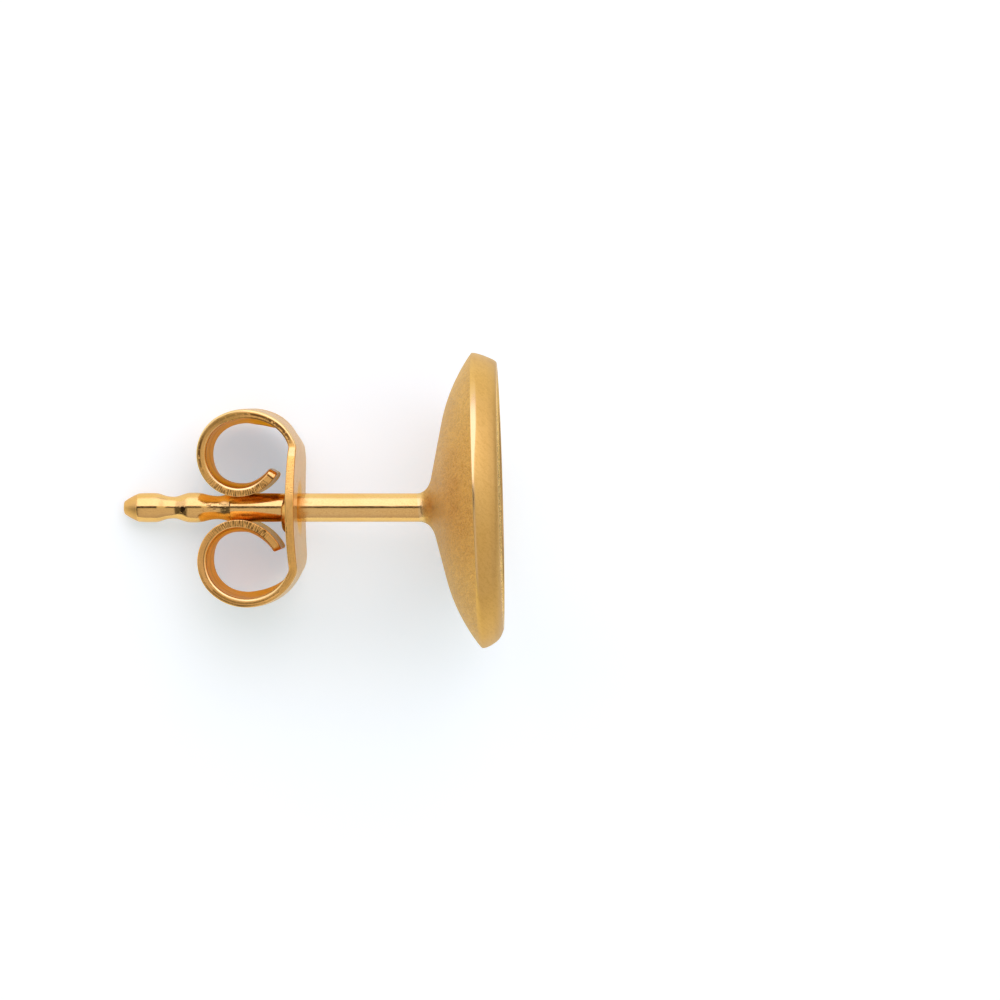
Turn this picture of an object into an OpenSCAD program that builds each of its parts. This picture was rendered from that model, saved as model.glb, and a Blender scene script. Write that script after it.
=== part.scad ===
// A stud earring lying on its side as it rests by itself: a concave disc with
// a grooved post, and a butterfly clutch on the post.
// The sub-parts are drawn along the post: X from the post's free end towards
// the disc, Y across, Z up through the clutch's width. rest() then lays the
// earring down on the disc's rim and on the long edge of the clutch's plate.

/* [Disc] */
// Outer diameter of the disc, at the sharp back edge of its band
disc_d = 10; // [9.6:0.1:10.6]
// Length of the satin band, back edge to front lip
band_l = 0.84; // [0.8:0.01:1]
// Depth of the hollow in the front
dish_depth = 1.4; // [1:0.05:1.5]
// Diameter of the hollow at the lip
dish_d = 9.24; // [9.1:0.02:9.3]
// How far the disc's axis sits above the post's axis at the rim
disc_off = 0.24; // [0:0.02:0.3]
// Lean of the disc on its post, across
lean_across = 2.1; // [0:0.1:3]
// Lean of the disc on its post, towards the upper side
lean_up = 1; // [0:0.1:2]

/* [Post] */
// Diameter of the post
post_d = 0.98; // [0.9:0.01:1]
// Distance from the post's free end to the rim's back edge
rim_x = 11.98; // [11.5:0.01:12.5]
// Radius of the solder fillet where the post meets the disc
fillet_r = 0.4; // [0.3:0.05:0.5]

/* [Clutch] */
// Where the clutch's plate stands on the post, from the post's free end
plate_x = 5.81; // [5.6:0.01:7]
// Thickness of the strip
strip_t = 0.28; // [0.24:0.01:0.3]
// Width of the plate
plate_w = 5.1; // [4.8:0.05:5.3]
// Clearance round the post, on the radius
clutch_gap = 0.03; // [0.02:0.01:0.05]

/* [Hidden] */
$fn = 96;

post_r = post_d / 2;
bore_r = post_r + clutch_gap;

// Back of the disc: an arc that starts at the rim under rim_slope, then a
// straight cone of hub_slope in the middle.
back_r = 5.9;
rim_slope = 38;
hub_slope = 13;
arc_x = disc_d / 2 - back_r * sin(rim_slope);
arc_y = back_r * cos(rim_slope);
hub_r = arc_x + back_r * sin(hub_slope);
hub_y = arc_y - back_r * cos(hub_slope);
tip_y = hub_y - hub_r * tan(hub_slope);

// Grooves turned in the post. Columns: middle from the free end, depth,
// radius of the cutting circle
grooves = [[1.68, 0.135, 1.16], [3.14, 0.105, 1.25]];
// The free end: length of its rounding and the radius of that rounding
nose_l = 0.73;
nose_r = 1.07;

// Bends of the strip from the middle of the plate to its end, one table for
// each scroll. Columns: radius of the middle line, turn in degrees (positive
// rolls towards the free end), number of steps
scroll_a = [
    [27, -4, 6],
    [0.55, 24, 5],
    [1.45, 40, 7],
    [1.85, 57, 10],
    [1.30, 102, 17],
    [1.20, 73, 12],
    [1.45, 38, 7]
];
scroll_b = [
    [22, -5, 6],
    [0.56, 34, 6],
    [1.68, 98, 16],
    [1.30, 88, 15],
    [1.18, 79, 13],
    [1.70, 36, 7]
];
// Half width of the strip along it. Columns: distance from the middle of the
// plate, half width
half_width = [[0, plate_w / 2], [1.3, plate_w / 2], [2.1, 2.05], [3.1, 1.95],
    [4.1, 1.8], [5.2, 1.4], [6.2, 1.2], [7.4, 1.08], [8.6, 1], [9.9, 0.94], [12, 0.92]];
// Crown of the strip's outer side along it
crown = [[0, 0], [2.2, 0], [3.4, 0.08], [5.4, 0.08], [7.2, 0], [12, 0]];

// x, y, heading and distance at the start of bend i of table t
function at_bend(t, i) =
    i == 0 ? [plate_x, 0, 90, 0] :
    let (p = at_bend(t, i - 1), r = t[i - 1][0], a = t[i - 1][1])
    along(p, r, a);
// x, y, heading and distance after turning by a on radius r from p
function along(p, r, a) =
    let (s = sign(a))
    [
        p[0] + s * r * (sin(p[2] + a) - sin(p[2])),
        p[1] + s * r * (cos(p[2]) - cos(p[2] + a)),
        p[2] + a,
        p[3] + r * abs(a) * PI / 180
    ];
// Every station of one scroll, from the middle of the plate to the end
function stations(t) = concat(
    [for (i = [0 : len(t) - 1], k = [0 : t[i][2] - 1])
        along(at_bend(t, i), t[i][0], t[i][1] * (k + 0.0001) / t[i][2])],
    [at_bend(t, len(t))]
);
// One ring of six points round the strip at station q. side is 1 or -1
function ring(q, side) =
    let (
        nx = -sin(q[2]), ny = cos(q[2]),
        w = lookup(q[3], half_width), c = lookup(q[3], crown),
        o = -strip_t / 2, n = strip_t / 2
    )
    [
        for (m = [[o, -w], [o - c, 0], [o, w], [n, w], [n - c, 0], [n, -w]])
            [q[0] + nx * m[0], side * (q[1] + ny * m[0]), m[1]]
    ];

// The four triangles that close an end of the strip
cap = [[0, 1, 5], [1, 4, 5], [1, 2, 4], [2, 3, 4]];

// The whole strip as one closed skin through its rings
module strip() {
    a = stations(scroll_a);
    b = stations(scroll_b);
    rings = concat(
        [for (i = [len(b) - 1 : -1 : 1]) ring(b[i], -1)],
        [for (q = a) ring(q, 1)]
    );
    n = len(rings);
    m = 6;
    polyhedron(
        points = [for (r = rings) each r],
        faces = concat(
            [for (t = cap) [t[2], t[1], t[0]]],
            [for (i = [0 : n - 2], j = [0 : m - 1])
                each [
                    [i * m + j, i * m + (j + 1) % m, (i + 1) * m + j],
                    [i * m + (j + 1) % m, (i + 1) * m + (j + 1) % m, (i + 1) * m + j]
                ]],
            [for (t = cap) [for (j = t) (n - 1) * m + j]]
        ),
        convexity = 6
    );
}

// Area inside one scroll's middle line
module inside(t, side) {
    q = stations(t);
    polygon([for (p = q) if (p[3] > 2.2) [p[0], side * p[1]]]);
}

// Half-round ridge pressed up over the post in one scroll
module ridge(t, side) {
    intersection() {
        translate([plate_x - 3, 0, 0]) rotate([0, 90, 0])
            cylinder(r = bore_r + strip_t * 0.95, h = 2);
        translate([0, 0, -1]) linear_extrude(height = 2) inside(t, side);
    }
}

// Dimple pressed round the hole towards the free end
module dimple() {
    translate([plate_x - 0.5, 0, 0]) rotate([0, 90, 0])
        cylinder(r1 = 0.68, r2 = 1.05, h = 0.5);
}

module dimple_hollow() {
    translate([plate_x - 0.34, 0, 0]) rotate([0, 90, 0])
        cylinder(r1 = bore_r, r2 = bore_r + 0.42, h = 0.6);
}

module butterfly_clutch() {
    color("goldenrod") rest() difference() {
        union() {
            strip();
            ridge(scroll_a, 1);
            ridge(scroll_b, -1);
            dimple();
        }
        dimple_hollow();
        translate([plate_x - 4, 0, 0]) rotate([0, 90, 0])
            cylinder(r = bore_r, h = 5);
    }
}

// Half section of the disc: across is the radius, up is towards the front
module disc_section() {
    difference() {
        union() {
            polygon([[0, tip_y], [hub_r, hub_y], [hub_r, band_l], [0, band_l]]);
            intersection() {
                translate([arc_x, arc_y]) circle(r = back_r, $fn = 360);
                polygon([
                    [hub_r - 0.1, hub_y - 0.3],
                    [disc_d / 2 + 0.4, hub_y - 0.02],
                    [disc_d / 2 - band_l * 0.27, band_l * 0.74],
                    [disc_d / 2 - band_l * 0.32, band_l * 0.87],
                    [disc_d / 2 - band_l * 0.39, band_l * 0.97],
                    [disc_d / 2 - band_l * 0.45, band_l],
                    [hub_r - 0.1, band_l]
                ]);
            }
        }
        translate([0, band_l - dish_depth + dish_r]) circle(r = dish_r, $fn = 360);
    }
}
dish_r = (dish_d * dish_d / 4 + dish_depth * dish_depth) / (2 * dish_depth);

// Half section of the post: across is the radius, up runs from the free end
module post_section(length) {
    difference() {
        union() {
            translate([0, nose_l]) square([post_r, length - nose_l]);
            intersection() {
                translate([post_r - nose_r, nose_l]) circle(r = nose_r, $fn = 180);
                square([post_r, nose_l]);
            }
        }
        for (g = grooves)
            translate([post_r + g[2] - g[1], g[0]]) circle(r = g[2], $fn = 180);
    }
}

// Half section of the solder fillet, its corner on the back of the disc
module fillet_section() {
    cr = post_r + fillet_r;
    cx = rim_x + tip_y + cr * tan(hub_slope) - fillet_r / cos(hub_slope);
    difference() {
        polygon([
            [0, cx],
            [cr, cx],
            [cr - fillet_r * sin(hub_slope), cx + fillet_r * cos(hub_slope)],
            [cr - fillet_r * sin(hub_slope), cx + fillet_r + 0.2],
            [0, cx + fillet_r + 0.2]
        ]);
        translate([cr, cx]) circle(r = fillet_r, $fn = 90);
    }
}

module disc_with_post() {
    color("gold") rest() union() {
        translate([rim_x, disc_off, 0])
            rotate([0, -lean_up, lean_across]) rotate([0, 90, 0])
                rotate_extrude($fn = 180) disc_section();
        rotate([0, 90, 0]) rotate_extrude() post_section(rim_x - 1.08);
        // the fillet follows the disc's back, which is off centre and leans
        translate([rim_x + tip_y, 0, 0]) rotate([0, -lean_up, 2 * lean_across])
            translate([-rim_x - tip_y, 0, 0])
                rotate([0, 90, 0]) rotate_extrude() fillet_section();
    }
}

// How the earring rests: the rim's lowest point and the plate's lower edge
low_rim = [rim_x + disc_d / 2 * sin(lean_up), disc_d / 2 * cos(lean_up)];
low_plate = [plate_x - strip_t / 2, plate_w / 2];
tilt = atan((low_rim[1] - low_plate[1]) / (low_rim[0] - low_plate[0]));
rest_up = low_plate[1] * cos(tilt) - low_plate[0] * sin(tilt);
// Middle of the resting earring's box
rest_x = 6.82;
rest_y = 0.24;

module rest() {
    translate([-rest_x, -rest_y, rest_up]) rotate([0, -tilt, 0]) children();
}

disc_with_post();
butterfly_clutch();
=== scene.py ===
import math

import bpy
import numpy as np
from mathutils import Matrix, Vector


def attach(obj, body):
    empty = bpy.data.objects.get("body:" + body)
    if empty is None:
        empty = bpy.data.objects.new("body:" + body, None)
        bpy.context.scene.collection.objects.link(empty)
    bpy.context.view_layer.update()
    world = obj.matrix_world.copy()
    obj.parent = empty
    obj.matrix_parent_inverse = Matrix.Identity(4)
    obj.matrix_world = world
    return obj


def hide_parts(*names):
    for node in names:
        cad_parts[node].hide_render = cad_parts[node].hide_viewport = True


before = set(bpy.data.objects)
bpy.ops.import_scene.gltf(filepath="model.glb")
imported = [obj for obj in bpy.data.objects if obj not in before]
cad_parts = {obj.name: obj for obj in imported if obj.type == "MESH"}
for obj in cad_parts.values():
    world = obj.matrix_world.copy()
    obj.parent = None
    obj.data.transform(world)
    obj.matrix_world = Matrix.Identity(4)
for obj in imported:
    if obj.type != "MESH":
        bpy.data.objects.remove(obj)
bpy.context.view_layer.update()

# ---------------------------------------------------------------- the frame
# The earring is drawn along its post, in millimetres: x from the post's free
# end to the disc, y across the two scrolls, z through the clutch's width.
# row() lays it down as it rests, in metres.
RIM_X, DISC_R, DISC_OFF = 11.98, 5.0, 0.24
LEAN_ACROSS, LEAN_UP = math.radians(2.1), math.radians(1.0)
PLATE_X, STRIP_T, PLATE_W = 5.81, 0.28, 5.1
POST_R = 0.49
TILT = math.atan(
    (DISC_R * math.cos(LEAN_UP) - PLATE_W / 2)
    / (RIM_X + DISC_R * math.sin(LEAN_UP) - PLATE_X + STRIP_T / 2)
)
CT, ST = math.cos(TILT), math.sin(TILT)
UP = PLATE_W / 2 * CT - (PLATE_X - STRIP_T / 2) * ST


def row(p):
    p = np.asarray(p, float)
    x, y, z = p[..., 0], p[..., 1], p[..., 2]
    return np.stack([x * CT - z * ST - 6.82, y - 0.24, x * ST + z * CT + UP], -1) / 1000


def row_dir(x, y, z):
    return Vector((x * CT - z * ST, y, x * ST + z * CT))


# ---------------------------------------------------------------- helpers
def hermite(xs, ys, x):
    """Monotone cubic through (xs, ys), at x."""
    xs, ys, x = np.asarray(xs, float), np.asarray(ys, float), np.asarray(x, float)
    h = np.diff(xs)
    d = np.diff(ys) / h
    m = np.zeros_like(ys)
    m[0], m[-1] = d[0], d[-1]
    same = d[:-1] * d[1:] > 0
    w1, w2 = 2 * h[1:] + h[:-1], h[1:] + 2 * h[:-1]
    inner = np.zeros(len(d) - 1)
    inner[same] = (w1 + w2)[same] / (w1[same] / d[:-1][same] + w2[same] / d[1:][same])
    m[1:-1] = inner
    i = np.clip(np.searchsorted(xs, x, side="right") - 1, 0, len(h) - 1)
    t = (x - xs[i]) / h[i]
    t2, t3 = t * t, t * t * t
    return (
        ys[i] * (2 * t3 - 3 * t2 + 1)
        + h[i] * m[i] * (t3 - 2 * t2 + t)
        + ys[i + 1] * (3 * t2 - 2 * t3)
        + h[i] * m[i + 1] * (t3 - t2)
    )


def smoothstep(e0, e1, x):
    t = np.clip((np.asarray(x, float) - e0) / (e1 - e0), 0, 1)
    return t * t * (3 - 2 * t)


def make_mesh(name, verts, faces, face_mats, mats, attrs):
    """verts in metres. faces is a list of index tuples, wound clockwise as seen
    from outside; attrs {name: value per vertex}."""
    me = bpy.data.meshes.new(name)
    me.from_pydata([tuple(v) for v in verts], [], [tuple(q)[::-1] for q in faces])
    me.polygons.foreach_set("use_smooth", [True] * len(me.polygons))
    for m in mats:
        me.materials.append(m)
    me.polygons.foreach_set("material_index", list(face_mats))
    for key, val in attrs.items():
        a = me.attributes.new(key, "FLOAT", "POINT")
        a.data.foreach_set("value", np.asarray(val, np.float32))
    me.update()
    ob = bpy.data.objects.new(name, me)
    bpy.context.scene.collection.objects.link(ob)
    return ob


# ---------------------------------------------------------------- node tools
class Nodes:
    """Short names for building a material's nodes."""

    def __init__(self, mat):
        mat.use_nodes = True
        self.t = mat.node_tree
        self.t.nodes.clear()
        self.out = self.t.nodes.new("ShaderNodeOutputMaterial")
        self.p = self.t.nodes.new("ShaderNodeBsdfPrincipled")
        self.t.links.new(self.p.outputs[0], self.out.inputs[0])

    def put(self, socket, v):
        if isinstance(v, (int, float)):
            socket.default_value = v
        elif isinstance(v, (tuple, list)):
            socket.default_value = v
        else:
            self.t.links.new(v, socket)

    def new(self, kind, outs=0, props=None, **ins):
        n = self.t.nodes.new(kind)
        for k, v in (props or {}).items():
            setattr(n, k, v)
        for k, v in ins.items():
            key = int(k[1:]) if k[0] == "i" and k[1:].isdigit() else k.replace("_", " ")
            self.put(n.inputs[key], v)
        return n.outputs[outs]

    def math(self, op, a, b=0.0, c=0.0, clamp=False):
        return self.new("ShaderNodeMath", 0, {"operation": op, "use_clamp": clamp}, i0=a, i1=b, i2=c)

    def ramp(self, x, lo, hi, a=0.0, b=1.0, smooth=True):
        return self.new(
            "ShaderNodeMapRange", 0,
            {"interpolation_type": "SMOOTHSTEP" if smooth else "LINEAR", "clamp": True},
            i0=x, i1=lo, i2=hi, i3=a, i4=b,
        )

    def mixc(self, f, a, b, mode="MIX"):
        n = self.t.nodes.new("ShaderNodeMix")
        n.data_type = "RGBA"
        n.blend_type = mode
        self.put(n.inputs[0], f)
        self.put(n.inputs[6], a)
        self.put(n.inputs[7], b)
        return n.outputs[2]

    def mixf(self, f, a, b):
        n = self.t.nodes.new("ShaderNodeMix")
        n.data_type = "FLOAT"
        self.put(n.inputs[0], f)
        self.put(n.inputs[2], a)
        self.put(n.inputs[3], b)
        return n.outputs[0]

    def attr(self, name):
        return self.new("ShaderNodeAttribute", 2, {"attribute_name": name, "attribute_type": "GEOMETRY"})

    def obj(self):
        return self.new("ShaderNodeTexCoord", 3)

    def mapping(self, v, loc=(0, 0, 0), rot=(0, 0, 0), scale=(1, 1, 1)):
        return self.new("ShaderNodeMapping", 0, {"vector_type": "POINT"}, i0=v, i1=loc, i2=rot, i3=scale)

    def noise(self, v, scale, detail=2.0, rough=0.5, distort=0.0, dims="3D"):
        return self.new(
            "ShaderNodeTexNoise", 0, {"noise_dimensions": dims},
            Vector=v, Scale=scale, Detail=detail, Roughness=rough, Distortion=distort,
        )

    def bump(self, height, strength, distance, normal=None):
        n = self.t.nodes.new("ShaderNodeBump")
        self.put(n.inputs["Strength"], strength)
        self.put(n.inputs["Distance"], distance)
        self.put(n.inputs["Height"], height)
        if normal is not None:
            self.put(n.inputs["Normal"], normal)
        return n.outputs[0]

    def combine(self, x, y, z):
        return self.new("ShaderNodeCombineXYZ", 0, None, i0=x, i1=y, i2=z)


def gold_material(name):
    mat = bpy.data.materials.new(name)
    n = Nodes(mat)
    n.p.inputs["Metallic"].default_value = 1.0
    return mat, n


# ---------------------------------------------------------------- materials
GOLD = (0.88, 0.525, 0.150, 1)
DEEP = (0.80, 0.41, 0.085, 1)
PALE = (0.90, 0.570, 0.185, 1)
DARK = (0.10, 0.045, 0.015, 1)


def polished_gold():
    """The post: drawn and buffed, with a filed tip."""
    mat, n = gold_material("polished_gold")
    o = n.obj()
    nose = n.attr("nose")
    fine = n.noise(o, 9000, 3, 0.6)
    broad = n.noise(o, 700, 2, 0.5)
    along, turn = n.attr("along"), n.attr("round")
    grain = n.noise(o, 26000, 2, 0.6)
    col = n.mixc(n.ramp(broad, 0.35, 0.7), GOLD, PALE)
    col = n.mixc(n.math("MULTIPLY", n.ramp(grain, 0.56, 0.34), 0.30), col, (0.66, 0.33, 0.07, 1))
    # the broken burr where the second groove ends, and a small nick by the first whose dark paint is a painted
    # reflection of the dark gap
    burr = n.ramp(n.math("ABSOLUTE", n.math("SUBTRACT", along, 3.625)), 0.012, 0.034, 1.0, 0.0)
    burr = n.math("MULTIPLY", burr, n.ramp(n.noise(o, 5200, 3, 0.6), 0.44, 0.54))
    na = n.math("MULTIPLY", n.math("SUBTRACT", along, 2.03), 8.0)
    nb = n.math("MULTIPLY", n.math("SUBTRACT", turn, 1.68), 2.6)
    nick_and_reflection = n.math("ADD", n.math("MULTIPLY", na, na), n.math("MULTIPLY", nb, nb))
    nick_and_reflection = n.math("ADD", nick_and_reflection, n.math("MULTIPLY", n.noise(o, 8000, 2, 0.6), 1.6))
    cut = n.math("MAXIMUM", burr, n.ramp(nick_and_reflection, 1.0, 1.6, 1.0, 0.0))
    # short dark dashes in the second groove
    dash = n.noise(n.combine(n.math("MULTIPLY", along, 5.0), n.math("MULTIPLY", turn, 11.0), 2.0), 1.0, 2, 0.6)
    near = n.math("MULTIPLY", n.ramp(along, 2.6, 2.8), n.ramp(along, 3.5, 3.65, 1.0, 0.0))
    near = n.math("MULTIPLY", near, n.ramp(n.math("ABSOLUTE", n.math("SUBTRACT", turn, 1.48)), 0.25, 0.50, 1.0, 0.0))
    cut = n.math("MAXIMUM", cut, n.math("MULTIPLY", near, n.ramp(dash, 0.58, 0.63)))
    col = n.mixc(n.math("MULTIPLY", nose, 0.35), col, (0.66, 0.35, 0.08, 1))
    # dark paint of the burr, the dashes and the nick; at the nick it is a painted reflection
    col = n.mixc(n.math("MULTIPLY", cut, 0.88), col, DARK)
    n.put(n.p.inputs["Base Color"], col)
    r = n.ramp(fine, 0.3, 0.75, 0.11, 0.19)
    r = n.mixf(nose, r, 0.42)
    n.put(n.p.inputs["Roughness"], r)
    turned = n.noise(n.combine(along, n.math("MULTIPLY", turn, 0.02), 0.0), 26, 3, 0.6)
    drawn = n.noise(n.combine(n.math("MULTIPLY", along, 2.2), n.math("MULTIPLY", turn, 7.0), 0.0), 1.0, 3, 0.6)
    b = n.bump(grain, 0.5, 1.6e-6)
    b = n.bump(drawn, 0.35, 6e-6, b)
    b = n.bump(cut, 0.5, 8e-6, b)
    b = n.bump(turned, n.mixf(nose, 0.10, 0.5), 4e-6, b)
    n.put(n.p.inputs["Normal"], b)
    return mat


def satin_gold():
    """The back of the disc: fine sandblasted skin with short wrinkles."""
    mat, n = gold_material("satin_gold")
    o = n.obj()
    gloss = n.attr("gloss")
    worm = n.noise(o, 9000, 1.5, 0.5, 1.1)
    ridge = n.math("ABSOLUTE", n.math("SUBTRACT", worm, 0.5))
    ridge = n.ramp(ridge, 0.0, 0.10, 1.0, 0.0)
    grain = n.noise(o, 26000, 2, 0.6)
    # short hatching, denser in patches
    along, fy = n.attr("along"), n.attr("face_y")
    run = n.math("ADD", n.math("MULTIPLY", along, 2.3), n.math("MULTIPLY", fy, 2.7))
    step = n.math("SUBTRACT", n.math("MULTIPLY", fy, 7.4), n.math("MULTIPLY", along, 8.6))
    hatch = n.noise(n.combine(run, step, n.math("MULTIPLY", n.attr("face_z"), 2.0)), 1.0, 2.0, 0.65, 0.3)
    patch = n.ramp(n.noise(o, 500, 2, 0.5), 0.35, 0.65, 0.75, 1.0)
    broad = n.noise(o, 700, 3, 0.5)
    skin = n.math("ADD", n.math("MULTIPLY", ridge, 0.40), n.math("MULTIPLY", grain, 0.35))
    skin = n.math("ADD", skin, n.math("MULTIPLY", n.math("MULTIPLY", hatch, patch), 0.85))
    col = n.mixc(n.ramp(broad, 0.3, 0.8, 0.0, 0.22), (0.84, 0.492, 0.116, 1), (0.78, 0.405, 0.073, 1))
    worn = n.ramp(skin, 0.25, 0.95)
    col = n.mixc(n.math("MULTIPLY", n.math("SUBTRACT", 1.0, worn), n.mixf(gloss, 0.62, 0.0)), col, (0.49, 0.22, 0.042, 1))
    # painted highlight: where glossy the gold is painted paler
    col = n.mixc(n.math("MULTIPLY", gloss, 0.5), col, (0.88, 0.60, 0.27, 1))
    n.put(n.p.inputs["Base Color"], col)
    r = n.ramp(grain, 0.3, 0.7, 0.38, 0.52)
    r = n.mixf(gloss, r, 0.16)
    n.put(n.p.inputs["Roughness"], r)
    s = n.mixf(gloss, 1.0, 0.04)
    n.put(n.p.inputs["Normal"], n.bump(skin, s, 2.8e-5))
    n.p.inputs["Specular Tint"].default_value = (0.78, 0.88, 0.86, 1)
    n.p.inputs["Sheen Weight"].default_value = 0.04
    n.p.inputs["Sheen Roughness"].default_value = 0.35
    return mat


def band_gold():
    """The disc's band: a smoother satin."""
    mat, n = gold_material("band_gold")
    o = n.obj()
    gloss = n.attr("gloss")
    grain = n.noise(o, 20000, 3, 0.6, 0.4)
    fine = n.noise(o, 60000, 2, 0.6)
    broad = n.noise(o, 500, 3, 0.55)
    along, fy = n.attr("along"), n.attr("face_y")
    run = n.math("SUBTRACT", n.math("MULTIPLY", along, 2.6), n.math("MULTIPLY", fy, 3.1))
    step = n.math("ADD", n.math("MULTIPLY", fy, 10.0), n.math("MULTIPLY", along, 12.0))
    hatch = n.noise(n.combine(run, step, n.math("MULTIPLY", n.attr("face_z"), 3.0)), 1.0, 2.0, 0.6)
    grain = n.math("ADD", n.math("MULTIPLY", grain, 0.55), n.math("MULTIPLY", hatch, 0.45))
    col = n.mixc(n.ramp(broad, 0.35, 0.68), (0.81, 0.485, 0.112, 1), (0.83, 0.510, 0.130, 1))
    col = n.mixc(n.math("MULTIPLY", n.ramp(grain, 0.56, 0.36), n.mixf(gloss, 0.34, 0.0)), col, (0.60, 0.30, 0.05, 1))
    # painted highlight: where glossy the gold is painted paler
    col = n.mixc(n.math("MULTIPLY", gloss, 0.7), col, (0.88, 0.60, 0.27, 1))
    # painted shade: the lip is painted darker
    col = n.mixc(n.math("MULTIPLY", n.attr("lip"), 0.24), col, (0.47, 0.28, 0.095, 1))
    n.put(n.p.inputs["Base Color"], col)
    r = n.ramp(fine, 0.3, 0.7, 0.46, 0.56)
    r = n.mixf(gloss, r, 0.15)
    n.put(n.p.inputs["Roughness"], r)
    s = n.mixf(gloss, 0.40, 0.03)
    n.put(n.p.inputs["Normal"], n.bump(grain, s, 6e-6))
    n.p.inputs["Specular Tint"].default_value = (0.68, 0.72, 0.80, 1)
    n.p.inputs["Sheen Weight"].default_value = 0.08
    n.p.inputs["Sheen Roughness"].default_value = 0.35
    return mat


def scratched_gold():
    """The hollow face: thousands of fine scratches, straight and bent, in all
    directions."""
    mat, n = gold_material("scratched_gold")
    fy, fz = n.attr("face_y"), n.attr("face_z")
    flat = n.combine(fy, fz, 0.0)
    # dark cuts, painted with shade, and bright burrs, painted with glints, by turns: direction, stretch, density, bend
    seeds = [
        (4, 0.55, 25, 0.9), (17, 0.7, 31, 0.3), (31, 0.5, 22, 1.4), (44, 0.8, 33, 0.5),
        (58, 0.6, 28, 1.1), (71, 0.45, 24, 0.4), (83, 0.7, 31, 1.6), (97, 0.55, 22, 0.7),
        (110, 0.8, 29, 0.35), (124, 0.6, 34, 1.2), (137, 0.5, 26, 0.6), (150, 0.7, 30, 1.5),
        (162, 0.6, 23, 0.5), (174, 0.75, 32, 1.0),
    ]
    sides = [None, None]
    for k, (deg, stretch, dens, bend) in enumerate(seeds):
        low = n.noise(n.mapping(flat, (3.1 * k, 1.7 * k, 0)), 0.35, 1.0, 0.4)
        wob = n.math("MULTIPLY", n.math("SUBTRACT", low, 0.5), 1.3 * bend)
        v = n.mapping(flat, (7.3 * k, 2.9 * k, 0), (0, 0, math.radians(deg)))
        sep = n.t.nodes.new("ShaderNodeSeparateXYZ")
        n.put(sep.inputs[0], v)
        x = n.math("MULTIPLY", sep.outputs[0], stretch)
        y = n.math("MULTIPLY", n.math("ADD", sep.outputs[1], wob), dens * 1.15)
        t = n.ramp(n.noise(n.combine(x, y, float(k)), 1.0, 2.0, 0.62), 0.585, 0.655)
        old = sides[k % 2]
        sides[k % 2] = t if old is None else n.math("MAXIMUM", old, t)
    shaded_cuts, glinting_burrs = sides
    far = n.math("SQRT", n.math("ADD", n.math("MULTIPLY", fy, fy), n.math("MULTIPLY", fz, fz)))
    shaded_cuts = n.math("MULTIPLY", shaded_cuts, n.ramp(far, 4.30, 4.55, 1.0, 0.08))
    glinting_burrs = n.math("MULTIPLY", glinting_burrs, n.ramp(far, 4.30, 4.55, 1.0, 0.08))
    groove = n.attr("gloss")  # the step where the face meets its ring
    broad = n.noise(flat, 0.5, 3, 0.55)
    col = n.mixc(n.ramp(broad, 0.35, 0.68), (0.76, 0.460, 0.122, 1), (0.84, 0.525, 0.155, 1))
    # painted glints on the burrs and painted shade in the cuts
    col = n.mixc(n.math("MULTIPLY", glinting_burrs, 0.60), col, (0.98, 0.71, 0.28, 1))
    col = n.mixc(n.math("MULTIPLY", shaded_cuts, 0.62), col, (0.34, 0.165, 0.028, 1))
    # painted shade: the step where the face meets its ring is painted darker
    col = n.mixc(n.math("MULTIPLY", groove, 0.28), col, (0.34, 0.18, 0.05, 1))
    n.put(n.p.inputs["Base Color"], col)
    n.put(n.p.inputs["Roughness"], n.mixf(glinting_burrs, 0.25, 0.17))
    h = n.math("SUBTRACT", n.math("MULTIPLY", glinting_burrs, 0.6), shaded_cuts)
    n.put(n.p.inputs["Normal"], n.bump(h, n.mixf(groove, 0.9, 0.0), 2.4e-6))
    return mat


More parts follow.
